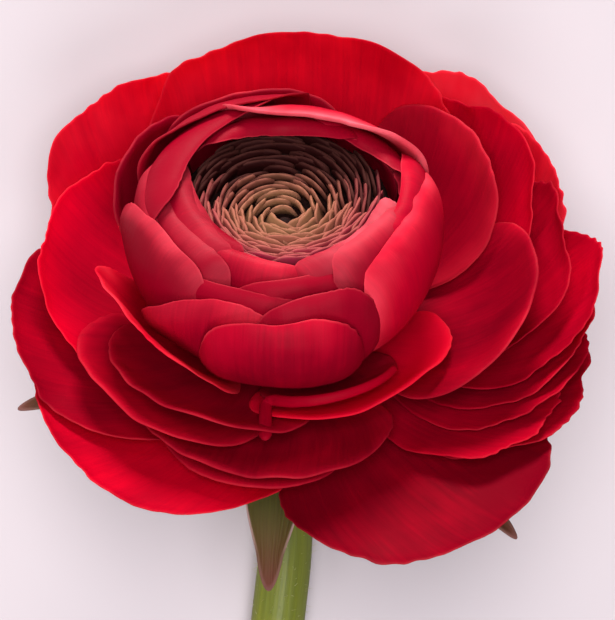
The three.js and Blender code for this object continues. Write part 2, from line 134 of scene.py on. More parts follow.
BALL_PETALS = {
    "ball_petal_left_1": (4.95, 203, 31.3, 14.0, {
        "turn": -0.55, "bloom": 0.2, "tone": -0.15, "plump": -0.4}),
    "ball_petal_left_2": (4.65, 188, 29.8, 16.0, {"turn": -0.3, "bloom": 0.18, "plump": -0.4}),
    "ball_petal_left_3": (3.6, 205, 30.6, 14.0, {"turn": -0.3, "bloom": 0.2}),
    "ball_petal_left_4": (3.0, 197, 32.4, 13.0, {"turn": -0.3, "bloom": 0.2}),
    "ball_petal_left_5": (2.0, 205, 29.5, 11.0, {"turn": -0.3, "bloom": 0.15}),
    "ball_petal_front_1": (5.5, 269, 31.0, 11.8, {
        "slant": 0.03, "corner": 0.14, "roll": 1.3, "roll_width": 3.5, "plump": 0.5}),
    "ball_petal_front_2": (5.1, 282, 30.4, 10.2, {
        "turn": -0.1, "roll": 1.0, "roll_width": 3.0, "tone": -0.8}),
    "ball_petal_front_3": (5.05, 240, 27.0, 12.0, {
        "turn": -0.65, "roll": 0.9, "roll_width": 3.0, "bloom": 0.08}),
    "ball_petal_front_4": (4.15, 247, 26.8, 15.0, {"turn": -0.15, "tone": -0.4}),
    "ball_petal_front_5": (3.45, 277, 27.2, 12.0, {"turn": -0.25, "tone": -0.4}),
    "ball_petal_front_6": (2.5, 250, 27.7, 13.0, {"slant": -0.06, "bloom": 0.1}),
    "ball_petal_right_1": (4.95, 343, 32.8, 15.5, {
        "turn": 0.3, "bloom": 0.3, "tone": 0.4, "plump": -0.4}),
    "ball_petal_right_2": (4.55, 357, 33.6, 13.0, {"turn": 0.4, "plump": -0.4}),
    "ball_petal_right_3": (3.8, 322, 33.2, 10.0, {"turn": 0.2, "bloom": 0.3}),
    # ball_petal_right_4's strong rose on one side is also a painted highlight on its lit knob.
    "ball_petal_right_4": (2.8, 315, 31.0, 13.0, {
        "turn": -0.15, "bloom": 0.8, "roll": 1.3, "roll_width": 3.5, "tone": -0.1,
        "bloom_side": 0.75, "bloom_width": 6.5}),
    "ball_petal_right_5": (3.1, 5, 26.0, 10.0, {"turn": -0.2, "bloom": 0.1, "roll": 1.2}),
    "ball_petal_back_1": (4.3, 145, 35.8, 18.0, {"turn": -0.2, **THIN_LIP}),
    "ball_petal_back_2": (4.05, 67, 35.4, 16.5, {"turn": -0.5, **THICK_LIP}),
    "ball_petal_back_3": (5.1, 118, 36.5, 14.0, {"turn": 0.1, **THIN_LIP}),
    "ball_petal_back_4": (5.45, 104, 31.5, 15.0, THIN_LIP),
    "ball_petal_back_5": (5.65, 141, 31.5, 10.0, THIN_LIP),
    "ball_petal_back_6": (3.45, 42, 33.0, 12.0, {"turn": -0.35, **OVERHANG}),
    "ball_petal_back_7": (2.75, 92, 32.6, 15.0, OVERHANG),
    "ball_petal_back_8": (2.0, 60, 26.4, 10.5, THIN_LIP),
}
# The folded rim of cup_petal_front_3: from where to where round the petal's rim it runs (degrees
# from the tip), how far its end then hangs down, and its half width at the start and the end.
FOLD_FROM, FOLD_TO = 50, -65
FOLD_HANG = (0.0, -8.5, 0.5)
FOLD_HALF_WIDTHS = (0.5, 1.0)
FOLD_POINTS = 10               # points of the petal's rim that it follows
FOLD_SMOOTHING = 0.06          # share of its length over which its corners are smoothed

PETAL_CORNER = 0.08            # how square a petal's tip is
CLAW_WIDTH = 0.14              # a petal's width at its claw, as a share of its full width
CLAW_START = 0.8               # where its claw starts on the layer
WIDEST_AT = 0.72               # where it is widest, as a share of its length

# Each sepal: azimuth, length, half width, and how far its tip droops.
SEPALS = {
    "sepal_front": (266, 25.0, 5.2, 13.0),
    "sepal_right": (316, 35.5, 4.0, 6.0),
    "sepal_back_right": (48, 24.0, 4.5, 0.0),
    "sepal_back_left": (122, 24.0, 4.5, 0.0),
    "sepal_left": (197, 30.5, 4.0, 3.0),
}
SEPAL_LAYER = 11.9

# The stem runs straight down from the head, bends until it lies level and swings aside between
# two distances, to a slope. Then its radius at distances down its centre line.
STEM_STRAIGHT = 4.12
STEM_BEND_RADIUS = 47.0
STEM_LENGTH = 124.0
STEM_SWING = (27.0, 36.0, 0.118)
STEM_DISTANCES = [-7.9, -7.7, -6.9, -5.5, -3.0, -0.5, 2.2, 3.6, 5.4, 7.6, 10.4]
STEM_RADII = [0.0, 1.5, 2.5, 3.3, 4.4, 5.4, 6.2, 5.9, 4.6, 3.9, 3.6]
CUT_SLANT = 0.35
STEM_CUTS = 150                # rings of vertices between the stem's ends
HAIR_RADIUS = 0.05

HEART_LAYER = 1.2              # layer of the heart's outside
HEART_RIM_ALONG = 23.5         # how far along that layer its rim lies
EYE_RIM = (12.2, 24.4)         # radius and height of the eye's rim
EYE_FLOOR = 20.6               # height of its middle
EYE_HOLE = 1.5                 # radius of the hole in its middle
GOLDEN_ANGLE = 137.5           # degrees from one of its petals to the next
DISH_RADIUS = 9.9              # of the core's dished top, below the eye
DISH_DEPTH = 2.2               # how far the dish's middle lies below the eye's
DISH_SHARE = 0.45              # share of the way from the core's top to its foot
KNOB_HEIGHT = 1.3              # of the carpels in the hole

# The seeds of the random shapes. A group of several pieces counts up from its seed.
GUARD_SEED, CUP_SEED, BALL_SEED, SEPAL_SEED = 100, 200, 300, 400
EYE_SEED, STEM_SEED, HAIR_SEED = 7, 5, 11

# What holds for every petal whose style or row says nothing else.
COMMON_STYLE = {"plump": 0.0, "roll_from": -0.5, "bloom_width": 2.6, "bloom_side": 0.0}

CAMERA_ASIDE = (3.0, 2.0)      # millimetres to the right of the head and behind it
AIR_BRIGHTNESS = 0.09
FLOOR_GAP = 0.2                # millimetres from the flower down to the floor

# Each light: its place from the head in metres, its size, its power and its colour.
LIGHTS = {
    "back_light": ((0.0, 2.0, 0.2), 0.9, 90.0, "#fff8f4"),
    "left_light": ((-1.3, 1.3, 0.6), 0.9, 15.0, "#fffcfa"),
    "top_light": ((0.0, 0.1, 2.0), 1.4, 50.0, "#fbfbff"),
    "front_light": ((0.2, -1.3, 1.5), 0.9, 20.0, "#fbfbff"),
}


# ---- Where things are ---------------------------------------------------------------------------

def closed_layer(layer, along):
    share = layer / BALL_LAYERS
    t = np.minimum(along / (BALL_LENGTHS[0] + (BALL_LENGTHS[1] - BALL_LENGTHS[0]) * share), 1.25)
    weights = [math.comb(4, k) * t**k * (1 - t)**(4 - k) for k in range(5)]
    inside = [sum(w * p[axis] for w, p in zip(weights, BALL_INSIDE)) for axis in (0, 1)]
    outside = [sum(w * p[axis] for w, p in zip(weights, BALL_OUTSIDE)) for axis in (0, 1)]
    return [a + (b - a) * share for a, b in zip(inside, outside)]


def open_layer(layer, azimuth, along):
    radius, height, slope, curl, back, right = (
        np.interp(layer, OPEN_LAYERS, values)
        for values in (OPEN_RADIUS, OPEN_HEIGHT, OPEN_SLOPE, OPEN_CURL, BACK_CURL, RIGHT_CURL))
    curl = np.radians(curl + back * np.sin(azimuth) - right * np.cos(azimuth))
    start = np.radians(slope)
    end = start + curl * along
    return (radius + (np.sin(end) - np.sin(start)) / curl,
            height + (np.cos(start) - np.cos(end)) / curl)


def on_layer(layer, azimuth, along):
    """Radius and height on a layer, so many millimetres along it from the receptacle."""
    layer = np.asarray(layer, float)
    closed = closed_layer(np.minimum(layer, BALL_LAYERS), along)
    opened = open_layer(np.maximum(layer, BALL_LAYERS + 1), azimuth, along)
    share = np.clip(layer - BALL_LAYERS, 0, 1)
    return [a + (b - a) * share for a, b in zip(closed, opened)]


def find_head():
    """The receptacle's place in the CAD model's frame, in millimetres, from the heart's box."""
    low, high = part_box("heart")
    along = np.linspace(4.5, HEART_RIM_ALONG, 9)[1:]
    radius, height = on_layer(HEART_LAYER, 0.0, along)
    back = math.sin(AXIS_TILT) * np.max(radius + height)
    down = math.cos(AXIS_TILT) * np.min(height - radius)
    return np.array([(low.x + high.x) / 2 / MM, high.y / MM - back, low.z / MM - down])


HEAD = find_head()


def round_axis(radius, angle, height):
    return np.stack([radius * np.cos(angle), radius * np.sin(angle), height], axis=-1)


def laid_down(points):
    """Points of the head's frame, in the CAD model's frame and in metres."""
    x, y, z = np.moveaxis(np.asarray(points, float), -1, 0)
    sine, cosine = math.sin(AXIS_TILT), math.cos(AXIS_TILT)
    turned = np.stack([x, y * cosine + z * sine, z * cosine - y * sine], axis=-1)
    return (turned + HEAD) * MM


def petal_surface(petal, x, y):
    """The middle surface of a petal over the unit disc, x across it and y from claw to tip."""
    layer, azimuth, length, half_width, extra = petal
    squaring = 1 + extra.get("corner", PETAL_CORNER) * 4 * x * x * y * y * (y > 0)
    across = x * squaring
    up = (y * squaring + 1) / 2
    opening = np.sin(np.clip(up / WIDEST_AT, 0, 1) * math.pi / 2) ** 1.3
    width = half_width * across * (CLAW_WIDTH + (1 - CLAW_WIDTH) * opening)
    along = CLAW_START + (length - CLAW_START) * up * (1 + extra.get("slant", 0) * across * up)
    level = layer + extra.get("turn", 0) * across * up
    middle = math.radians(azimuth)
    angle = middle + width / np.maximum(on_layer(level, middle, along)[0], 3)
    radius, height = on_layer(level, angle, along)
    height = height - extra.get("droop", 0) * up * up
    return round_axis(radius, angle, height)


def unit(vectors):
    return vectors / np.linalg.norm(vectors, axis=-1, keepdims=True)


def outward(surface, x, y):
    """The surface's normal, on the side away from the flower's middle."""
    step = 0.004
    across = surface(x + step, y) - surface(x - step, y)
    up = surface(x, y + step) - surface(x, y - step)
    normal = np.cross(across, up)
    return normal / np.maximum(np.linalg.norm(normal, axis=-1, keepdims=True), 1e-9)


def wander(rng, t, slowest, fastest, count=7):
    """A smooth random curve between about -1 and 1, of waves per turn from slowest to fastest."""
    total = np.zeros_like(t)
    for turns in rng.uniform(slowest, fastest, count):
        total += np.sin(turns * t + rng.uniform(0, 2 * math.pi))
    return total / math.sqrt(count)


# ---- Making meshes ------------------------------------------------------------------------------

def new_grid(name, columns, rows, crowding=1.5, roundness=1.0):
    """A grid primitive, pressed into the unit disc or part of the way, its cells finer towards
    the rim. Returns the object and its x and y arrays."""
    bpy.ops.mesh.primitive_grid_add(x_subdivisions=columns, y_subdivisions=rows, size=2)
    obj = just_added(name)
    place = np.empty(len(obj.data.vertices) * 3)
    obj.data.vertices.foreach_get("co", place)
    u, v = place.reshape(-1, 3)[:, 0], place.reshape(-1, 3)[:, 1]
    u, v = (np.sign(w) * (1 - (1 - np.minimum(np.abs(w), 1)) ** crowding) for w in (u, v))
    pressed = roundness / 2
    return obj, u * np.sqrt(1 - pressed * v * v), v * np.sqrt(1 - pressed * u * u)


def set_vertices(obj, points):
    obj.data.vertices.foreach_set("co", np.ascontiguousarray(points, np.float32).ravel())
    obj.data.update()


def keep(obj, **attributes):
    """Keeps numbers or vectors for each vertex under these names, for the materials."""
    for name, values in attributes.items():
        values = np.asarray(values, np.float32)
        kind, key = ("FLOAT_VECTOR", "vector") if values.ndim == 2 else ("FLOAT", "value")
        attribute = obj.data.attributes.new(name, kind, "POINT")
        attribute.data.foreach_set(key, values.ravel())


def on_leaf(across, along, number):
    """Places on a flattened petal in mm, apart from those of every other number."""
    return np.stack([across, along, np.full_like(across, number)], -1)


def just_added(name):
    """The object that the last operator added, with its name."""
    obj = bpy.context.active_object
    obj.name = obj.data.name = name
    return obj


def make_active(*objects):
    """Selects these objects only, the last of them active."""
    bpy.ops.object.select_all(action="DESELECT")
    for obj in objects:
        obj.select_set(True)
    bpy.context.view_layer.objects.active = objects[-1]


def vertex_places(obj):
    return np.array([v.co for v in obj.data.vertices])


def thicken(obj, thickness, from_rim, rounding):
    """Gives a sheet its thickness on its inner side, rounded off over so many mm at the rim."""
    share = np.clip(from_rim / rounding, 0, 1)
    weights = np.sqrt(share * (2 - share))
    group = obj.vertex_groups.new(name="thickness")
    for number, weight in enumerate(weights):
        group.add([number], float(weight), "REPLACE")
    make_active(obj)
    modifier = obj.modifiers.new("thickness", "SOLIDIFY")
    modifier.thickness = thickness
    modifier.offset = -1
    modifier.vertex_group = group.name
    modifier.thickness_vertex_group = 0.12
    bpy.ops.object.modifier_apply(modifier=modifier.name)
    bpy.ops.object.shade_smooth()


def finish_piece(obj, material, slot, *replaced):
    obj.data.materials.clear()
    obj.data.materials.append(material)
    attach(obj, "root")
    if replaced:
        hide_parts(*replaced)


def rings_on_path(obj, distance, turn, radius):
    """Puts vertices round the stem's centre line, and returns their places before it bends."""
    centre, _, over, side = stem_frame(distance)
    spoke = side * (radius * np.cos(turn))[:, None] + over * (radius * np.sin(turn))[:, None]
    slant = np.where(distance >= STEM_LENGTH - 1e-6, CUT_SLANT * spoke[:, 2], 0)
    place = centre + spoke
    place[:, 1] += slant
    set_vertices(obj, (place + HEAD) * MM)
    return round_axis(radius, turn, distance)


def stem_line(distance):
    """Points of the stem's centre line from the head, and its direction there."""
    def point(d):
        straight = np.minimum(d, STEM_STRAIGHT)
        bend = STEM_BEND_RADIUS * (math.pi / 2 - AXIS_TILT)
        bent = np.clip(d - STEM_STRAIGHT, 0, bend) / STEM_BEND_RADIUS
        level = np.maximum(d - STEM_STRAIGHT - bend, 0)
        forward = (straight * math.sin(AXIS_TILT) + level
                   + STEM_BEND_RADIUS * (math.cos(AXIS_TILT) - np.cos(AXIS_TILT + bent)))
        drop = (straight * math.cos(AXIS_TILT)
                + STEM_BEND_RADIUS * (np.sin(AXIS_TILT + bent) - math.sin(AXIS_TILT)))
        start, end, slope = STEM_SWING
        swung = np.clip(forward - start, 0, end - start)
        left = slope * (swung**2 / (2 * (end - start)) + np.maximum(forward - end, 0))
        return np.stack([-left, -forward, -drop], axis=-1)
    return point(distance), unit(point(distance + 0.1) - point(distance - 0.1))


def stem_frame(distance):
    """Points of the stem's centre line, its direction there, and two directions across it."""
    centre, way = stem_line(distance)
    over = unit(np.cross(way, np.array([1.0, 0, 0])))
    return centre, way, over, np.cross(over, way)


# ---- Materials ----------------------------------------------------------------------------------

def to_linear(code):
    """An sRGB hex colour as linear red, green and blue."""
    channels = [int(code[k:k + 2], 16) / 255 for k in (1, 3, 5)]
    return tuple(c / 12.92 if c <= 0.04045 else ((c + 0.055) / 1.055) ** 2.4 for c in channels)


def add_node(tree, kind, inputs=None, **settings):
    """Adds a node with its settings, and sets or links its inputs."""
    node = tree.nodes.new(kind)
    for key, value in settings.items():
        setattr(node, key, value)
    for key, value in (inputs or {}).items():
        if isinstance(value, bpy.types.NodeSocket):
            tree.links.new(value, node.inputs[key])
        else:
            node.inputs[key].default_value = value
    return node


def new_material(name):
    material = bpy.data.materials.new(name)
    material.use_nodes = True
    material.node_tree.nodes.clear()
    return material, material.node_tree


def kept(tree, name, output="Fac"):
    """What keep put by for each vertex."""
    return add_node(tree, "ShaderNodeAttribute", attribute_name=name).outputs[output]


def object_place(tree):
    return add_node(tree, "ShaderNodeTexCoord").outputs["Object"]


def noise(tree, place, scale=1.0, detail=2.0, roughness=0.5):
    """Cloudy noise over the places. A scale for each axis stretches it."""
    if isinstance(scale, tuple):
        place = add_node(tree, "ShaderNodeMapping", {"Vector": place, "Scale": scale}).outputs[0]
        scale = 1.0
    return add_node(tree, "ShaderNodeTexNoise", {"Vector": place, "Scale": scale,
                    "Detail": detail, "Roughness": roughness}).outputs["Fac"]


def ranged(tree, value, start=0.0, end=1.0, to_start=0.0, to_end=1.0, **settings):
    """A value brought from one range into another, and kept inside it."""
    return add_node(tree, "ShaderNodeMapRange", {
        "Value": value, "From Min": start, "From Max": end, "To Min": to_start,
        "To Max": to_end}, **settings).outputs[0]


def product(tree, first, second, added=0.0):
    """Two values multiplied, and a third one added."""
    return add_node(tree, "ShaderNodeMath", {0: first, 1: second, 2: added},
                    operation="MULTIPLY_ADD").outputs[0]


def mixed(tree, share, first, second):
    """A colour between two, each from another node or a plain red, green and blue."""
    first, second = (colour if isinstance(colour, bpy.types.NodeSocket) else (*colour, 1)
                     for colour in (first, second))
    return add_node(tree, "ShaderNodeMix", {0: share, 6: first, 7: second},
                    data_type="RGBA", clamp_factor=True).outputs[2]


def bumped(tree, height, strength, millimetres, inputs=None, **settings):
    """A normal tilted by a height that stands for so many millimetres."""
    return add_node(tree, "ShaderNodeBump", {
        "Height": height, "Strength": strength, "Distance": millimetres * MM,
        **(inputs or {})}, **settings).outputs[0]


def put_out(tree, shader):
    add_node(tree, "ShaderNodeOutputMaterial", {"Surface": shader.outputs[0]})


def principled(tree, colour, roughness, inputs=None):
    return add_node(tree, "ShaderNodeBsdfPrincipled", {
        "Base Color": colour, "Roughness": roughness, **(inputs or {})})


def petal_tissue(name, colours, sizes, translucence, streakiness):
    """Fresh ranunculus petal: a film of cells, satin, with veins that fan from the claw. The eye
    gets a saturated red that glows where light comes through, a painted highlight along the rim,
    fine streaks of lighter and darker red, tone that is partly painted light and shade, and rose
    near the rim that is partly a painted highlight."""
    material, tree = new_material(name)
    leaf = kept(tree, "leaf", "Vector")
    per_vein = 0.5 / (sizes.vein_spacing / MM)
    streaks = noise(tree, leaf, (2 * per_vein, 0.07 * per_vein, 1.0), 4.0, 0.6)
    clouds = ranged(tree, noise(tree, leaf, (0.12, 0.07, 1.0), 3.0), 0.3, 0.7)
    veined = product(tree, ranged(tree, streaks, 0.35, 0.7), streakiness, kept(tree, "tone"))
    red = mixed(tree, product(tree, clouds, 0.4, veined), colours.petal_deep, colours.petal)
    # bloom mixes in the petals' own rose and a painted highlight; the rim line is a painted
    # highlight.
    rose_and_highlight = mixed(tree, product(tree, kept(tree, "bloom"), clouds), red, colours.petal_rose_and_highlight)
    rim_highlight = ranged(tree, kept(tree, "rim"), 0.03, 0.22, sizes.rim_highlight, 0.0,
                      interpolation_type="SMOOTHSTEP")
    colour = mixed(tree, product(tree, rim_highlight, clouds), rose_and_highlight, colours.petal_rim_highlight)
    grain = noise(tree, leaf, (9.0, 5.0, 1.0))
    ribs = bumped(tree, streaks, 0.4, 0.1)
    skin = bumped(tree, grain, 0.25, 0.03, {"Normal": ribs})
    gloss = ranged(tree, streaks, 0.0, 1.0, 0.42, 0.62)
    surface = principled(tree, colour, gloss, {
        "Normal": skin, "IOR": 1.42, "Specular IOR Level": sizes.petal_gloss})
    through = add_node(tree, "ShaderNodeBsdfTranslucent", {"Color": colour, "Normal": skin})
    put_out(tree, add_node(tree, "ShaderNodeMixShader", {
        0: translucence, 1: surface.outputs[0], 2: through.outputs[0]}))
    return material


def leaf_tissue(colours):
    """Drying sepal: a thin leaf, olive going brown, with a pale pink margin."""
    material, tree = new_material("drying_sepal_leaf")
    tone = kept(tree, "tone")
    streaks = noise(tree, kept(tree, "leaf", "Vector"), (2.2, 0.15, 1.0), 4.0)
    olive = mixed(tree, streaks, colours.sepal_dark, colours.sepal)
    browned = mixed(tree, tone, olive, colours.sepal_tip)
    margin = product(tree, ranged(tree, kept(tree, "rim"), 0.02, 0.3, 0.8, 0.0),
                     ranged(tree, tone, 0.0, 0.5, 1.0, 0.1))
    put_out(tree, principled(tree, mixed(tree, margin, browned, colours.sepal_rim), 0.62, {
        "Normal": bumped(tree, streaks, 0.8, 0.2), "Specular IOR Level": 0.15}))
    return material


def stem_skin(colours):
    """Fresh green stem: a matte skin over long fibres, yellower in streaks, with pale pith
    at the cut."""
    material, tree = new_material("fresh_stem_skin")
    straight = kept(tree, "straight", "Vector")
    fibres = noise(tree, straight, (1.4, 1.4, 0.05), 5.0, 0.6)
    patches = noise(tree, straight, 0.12, 3.0)
    green = mixed(tree, ranged(tree, fibres, 0.3, 0.7), colours.stem_dark, colours.stem)
    patched = mixed(tree, ranged(tree, patches, 0.45, 0.8, 0.0, 0.5), green, colours.stem_yellow)
    distance = add_node(tree, "ShaderNodeSeparateXYZ", {"Vector": straight}).outputs["Z"]
    cut = ranged(tree, distance, STEM_LENGTH - 0.04, STEM_LENGTH - 0.02)
    put_out(tree, principled(tree, mixed(tree, cut, patched, colours.stem_pith), 0.55, {
        "Normal": bumped(tree, fibres, 0.6, 0.25), "Subsurface Weight": 0.1,
        "Subsurface Radius": (0.5, 1.0, 0.3), "Subsurface Scale": 1.0 * MM}))
    return material


def hair_fibre(colours):
    """Stem hair: clear pale fibre, which reads as a light fuzz along the stem's edges."""
    material, tree = new_material("stem_hair_fibre")
    shade = noise(tree, object_place(tree), 400.0)
    put_out(tree, principled(tree, mixed(tree, shade, colours.stem_yellow, colours.hair), 0.4))
    return material


def young_tissue(colours):
    """Unopened petals of the eye: thick, matte, wine outside going to tan by the middle. Painted
    shade makes them almost black where the back of the ball would shade them and darker low in
    each petal, and a painted highlight runs along their rims, fainter in that shade."""
    material, tree = new_material("young_petal_tissue")
    shaded = kept(tree, "bloom")
    grain = noise(tree, kept(tree, "leaf", "Vector"), 0.9, 3.0)
    depth = ranged(tree, product(tree, grain, 0.35, kept(tree, "tone")), 0.12, 1.12)
    body = mixed(tree, depth, colours.eye_wine, colours.eye_tan)
    dark = mixed(tree, shaded, body, colours.eye_shaded)
    rim_highlight = product(tree, ranged(tree, kept(tree, "rim"), 0.0, 0.4, 0.35, 0.0),
                       ranged(tree, shaded, 0.0, 1.0, 1.0, 0.2))
    put_out(tree, principled(tree, mixed(tree, rim_highlight, dark, colours.eye_rim_highlight), 0.7, {
        "Normal": bumped(tree, grain, 0.3, 0.1), "Specular IOR Level": 0.04}))
    return material


def core_tissue(colours):
    """The ball's inside below the eye, and the young carpels in the hole: painted shade, dark all
    over and darkest in the gaps between the carpels.
    """
    material, tree = new_material("shaded_core_tissue")
    bumps = add_node(tree, "ShaderNodeTexVoronoi", {
        "Vector": object_place(tree), "Scale": 1800.0}).outputs["Distance"]
    put_out(tree, principled(tree, mixed(tree, bumps, colours.core, colours.core_dark), 0.8, {
        "Normal": bumped(tree, bumps, 0.6, 0.2, invert=True), "Specular IOR Level": 0.1}))
    return material


def floor_paper(colours):
    """Studio paper: smooth, matte and pale, with a faint mottle."""
    material, tree = new_material("studio_floor_paper")
    mottle = noise(tree, object_place(tree), 30.0, 3.0)
    lighter = tuple(min(c * 1.03, 1) for c in colours.floor)
    put_out(tree, principled(tree, mixed(tree, mottle, colours.floor, lighter), 0.9, {
        "Specular IOR Level": 0.1}))
    return material


# ---- What a user may change ---------------------------------------------------------------------

def colour_setting(name, description, code):
    return bpy.props.FloatVectorProperty(name=name, description=description, subtype="COLOR",
                                         size=3, min=0, max=1, default=to_linear(code))


def length_setting(name, description, millimetres):
    return bpy.props.FloatProperty(name=name, description=description, subtype="DISTANCE",
                                   unit="LENGTH", min=0, precision=5, default=millimetres * MM)


def share_setting(name, description, share):
    return bpy.props.FloatProperty(name=name, description=description, subtype="FACTOR",
                                   min=0, max=1, default=share)


class ButtercupColours(bpy.types.PropertyGroup):
    """Colours of the flower and of the floor."""
    petal: colour_setting("Petal", "Lighter red of the petals", "#e6002e")
    petal_deep: colour_setting("Petal, deep", "Darker red of the petals", "#8c001c")
    # Painted highlight along each petal's rim.
    petal_rim_highlight: colour_setting("Petal rim", "Pale line along a petal's rim", "#e84a56")
    # The petals' own rose next to the eye, also used as their painted highlight and glow.
    petal_rose_and_highlight: colour_setting("Petal, dusty", "Rose of the petals next to the eye", "#e8707c")
    eye_wine: colour_setting("Eye, outside", "Young petals at the eye's edge", "#8a1e36")
    eye_tan: colour_setting("Eye, middle", "Young petals in the eye's middle", "#845c40")
    # Painted highlight along the young petals' rims.
    eye_rim_highlight: colour_setting("Eye rims", "Rims of the young petals", "#a06054")
    eye_shaded: colour_setting("Eye, shaded", "Young petals under the back of the ball", "#200606")
    # Both core colours are painted shade of the hole and the ball's inside.
    core: colour_setting("Core", "Carpels and the inside of the ball", "#240a08")
    core_dark: colour_setting("Core, dark", "Gaps between the carpels", "#080302")
    sepal: colour_setting("Sepal", "Lighter olive of the sepals", "#4c4c12")
    sepal_dark: colour_setting("Sepal, dark", "Darker brown of the sepals", "#2c2608")
    sepal_tip: colour_setting("Sepal tip", "Dried tip of a sepal", "#5c2c24")
    sepal_rim: colour_setting("Sepal rim", "Pale margin of a sepal", "#dcb4b0")
    stem: colour_setting("Stem", "Lighter green of the stem", "#6c7214")
    stem_dark: colour_setting("Stem, dark", "Darker green of the stem", "#545c0c")
    stem_yellow: colour_setting("Stem, yellow", "Yellow streaks of the stem", "#7c781c")
    stem_pith: colour_setting("Stem, pith", "Pith at the cut", "#a9ad80")
    hair: colour_setting("Hair", "Fine hairs of the stem", "#c8c8a0")
    floor: colour_setting("Floor", "Studio paper", "#b8afb2")


class ButtercupSizes(bpy.types.PropertyGroup):
    """Sizes of the flower's finer shape, and of the stage."""
    thickness: length_setting("Petal thickness", "Thickness of the petals", 0.22)
    ruffle: length_setting("Ruffle", "Height of the waves at an open petal's rim", 0.45)
    tooth: length_setting("Tooth", "Depth of the small teeth along a petal's rim", 0.16)
    vein_spacing: length_setting("Vein spacing", "Distance between veins", 0.45)
    eye_petal: length_setting("Eye petal", "Thickness of the young petals in the eye", 0.5)
    hair_length: length_setting("Hair length", "Length of the stem's hairs", 1.1)
    camera_height: length_setting("Camera height", "Camera above the receptacle", 400.0)
    view_height: length_setting("View height", "What the camera sees from top to bottom", 83.7)
    translucence: share_setting("Translucence", "Share of the light that goes through a petal",
                                0.55)
    petal_gloss: share_setting("Petal gloss", "Strength of the petals' satin reflection", 0.06)
    # Strength of the painted highlight along each rim.
    rim_highlight: share_setting("Rim line", "Strength of the pale line along each rim", 0.3)
    eye_petals: bpy.props.IntProperty(name="Eye petals", min=10, max=400, default=165,
                                      description="How many young petals fill the eye")
    hairs: bpy.props.IntProperty(name="Hairs", min=0, max=5000, default=900,
                                 description="How many hairs the stem has")


# ---- The pieces ---------------------------------------------------------------------------------

def shaped_petal(petal, rng, style, x, y):
    """A petal's surface with its waves, its teeth and its turned rim."""
    _, _, length, half_width, _ = petal
    out = np.hypot(x, y)
    round_rim = np.arctan2(x, y)
    upper = np.clip((y + 0.5) / 0.9, 0, 1)
    size = (half_width + length / 2) / 2
    small = wander(rng, round_rim, 34, 62) * (0.5 + 0.5 * wander(rng, round_rim, 3, 9))
    jagged = style["tooth"] * small + 2.2 * style["tooth"] * wander(rng, round_rim, 5, 12)
    stretch = 1 + jagged / size * out**16 * upper
    waves = wander(rng, round_rim, 3, 7) + 0.3 * wander(rng, round_rim, 12, 22)
    crease = wander(rng, 13 * x + 2.5 * y, 0.7, 2.0) * out**2
    swell = wander(rng, 2.2 * x + 0.6 * y, 0.8, 2.0) * wander(rng, 1.8 * y, 0.8, 2.0)
    surface = lambda a, b: petal_surface(petal, a, b)
    place = surface(x * stretch, y * stretch)
    normal = outward(surface, x, y)
    from_rim = (1 - out) * size
    roll = style["roll"] * np.clip(1 - from_rim / style["roll_width"], 0, 1) ** 2
    rolled = np.clip((y - style["roll_from"]) / 0.9, 0, 1)
    plump = style["plump"] * np.exp(-((y - 0.55) / 0.4) ** 2) * np.clip(1 - x * x, 0, 1)
    lift = (style["ruffle"] * waves * out**5 * upper + plump - roll * rolled
            + style["crease"] * crease * upper + style["swell"] * swell * np.clip(1 - out**2, 0, 1))
    return place + normal * lift[:, None], from_rim


def make_petal(name, petal, material, slot, style, seed):
    _, _, length, half_width, extra = petal
    style = {**COMMON_STYLE, **style, **extra}
    rng = np.random.default_rng(seed)
    obj, x, y = new_grid(name.replace("petal", "petal_leaf", 1), style["columns"], style["rows"])
    place, from_rim = shaped_petal(petal, rng, style, x, y)
    place = laid_down(place)
    place[:, 2] = np.maximum(place[:, 2], 0.0)
    set_vertices(obj, place)
    along = length * (y + 1) / 2
    # Painted shade: darker towards the claw, and with deepen away from the rim between the petals.
    # Near the rim, bloom gives the petal's own rose and also a painted highlight and glow.
    claw = -0.5 * np.clip(1 - along / (0.45 * length), 0, 1)
    inner = -style["painted_inner_shade"] * np.clip(from_rim / 7, 0, 1)
    near_rim = np.exp(-((from_rim / style["bloom_width"]) ** 2)) * (y > -0.3)
    one_side = np.clip(1 + style["bloom_side"] * (x - 0.4), 0, 1)
    keep(obj, leaf=on_leaf(x * half_width, along, seed * 17.3), rim=from_rim,
         tone=style["tone"] + rng.uniform(-0.12, 0.12) + claw + inner,
         bloom=style["bloom"] * near_rim * one_side)
    thicken(obj, style["thickness"] * MM, from_rim, style["rounding"])
    finish_piece(obj, material, slot, name)


class PetalOperator:
    """What the operators that make petals share."""
    bl_options = {"REGISTER", "UNDO"}

    def make_all(self, context, petals, title, slot, first_seed, style):
        sizes = context.scene.buttercup_sizes
        material = petal_tissue(title, context.scene.buttercup_colours, sizes,
                                style["translucence"] * sizes.translucence, style["streaks"])
        for number, (name, petal) in enumerate(petals.items()):
            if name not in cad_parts:
                raise RuntimeError("the CAD model has no " + name)
            make_petal(name, petal, material, slot, style, first_seed + number)
        return {"FINISHED"}


